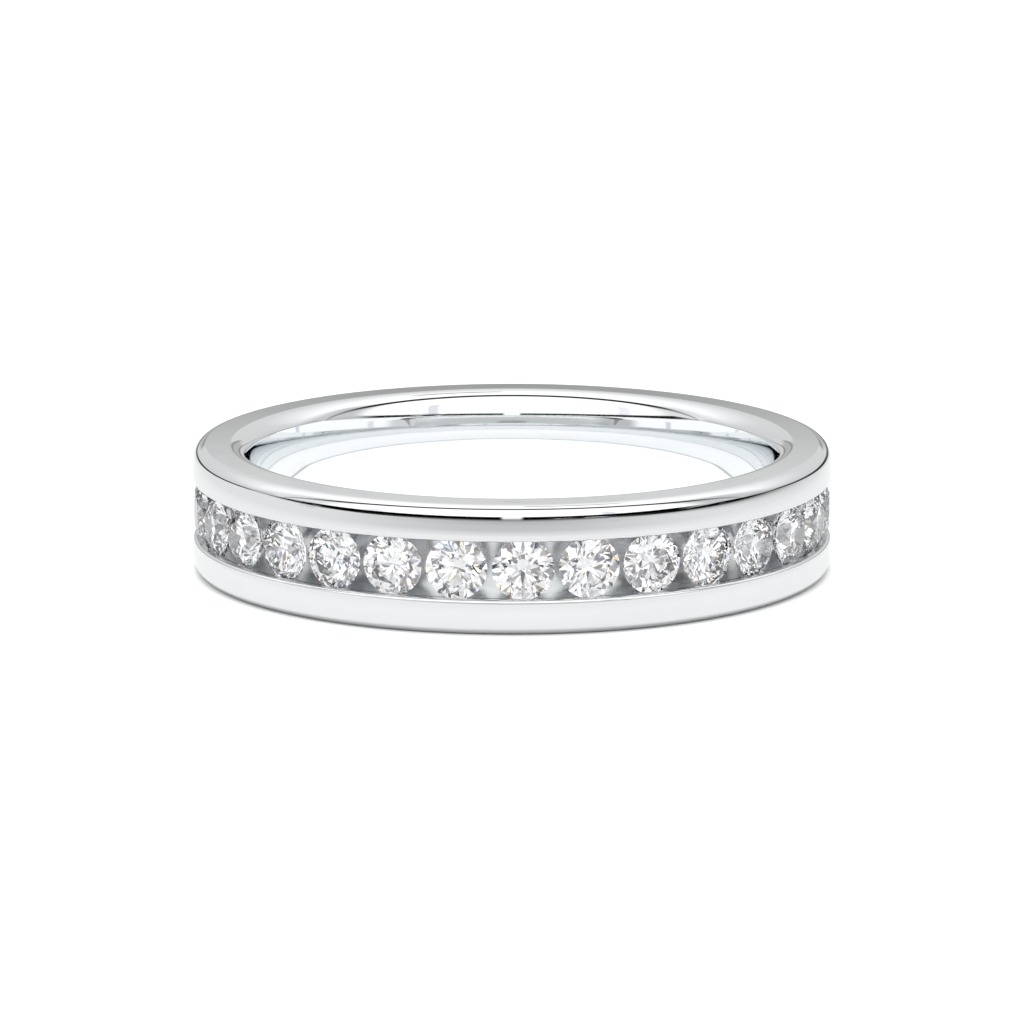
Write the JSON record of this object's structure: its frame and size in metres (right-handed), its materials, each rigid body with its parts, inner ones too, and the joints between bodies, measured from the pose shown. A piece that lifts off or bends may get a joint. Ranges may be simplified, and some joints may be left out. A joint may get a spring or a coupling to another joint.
{
  "type": "channel set band",
  "caption": "Flat-sided white metal finger ring, lying on its side, with a full circle of round brilliant stones held in a channel between two polished rails.",
  "frame": {"origin": "on the ring's axis, at the side face that it lies on", "axes": "+Z along the ring's axis, up as it lies on its side; -Y is the front of the picture; the ring is the same all the way round"},
  "size_m": [0.0204, 0.0204, 0.0041],
  "materials": {
    "metal": "mirror-polished white gold",
    "stone": "faceted and polished, clear, with strong fire"
  },
  "bodies": {
    "root": {"band": "metal", "stone_01": "stone", "stone_02": "stone", "stone_03": "stone", "stone_04": "stone", "stone_05": "stone", "stone_06": "stone", "stone_07": "stone", "stone_08": "stone", "stone_09": "stone", "stone_10": "stone", "stone_11": "stone", "stone_12": "stone", "stone_13": "stone", "stone_14": "stone", "stone_15": "stone", "stone_16": "stone", "stone_17": "stone", "stone_18": "stone", "stone_19": "stone", "stone_20": "stone", "stone_21": "stone", "stone_22": "stone", "stone_23": "stone", "stone_24": "stone", "stone_25": "stone", "stone_26": "stone", "stone_27": "stone", "stone_28": "stone", "stone_29": "stone", "stone_30": "stone"}
  },
  "joints": []
}
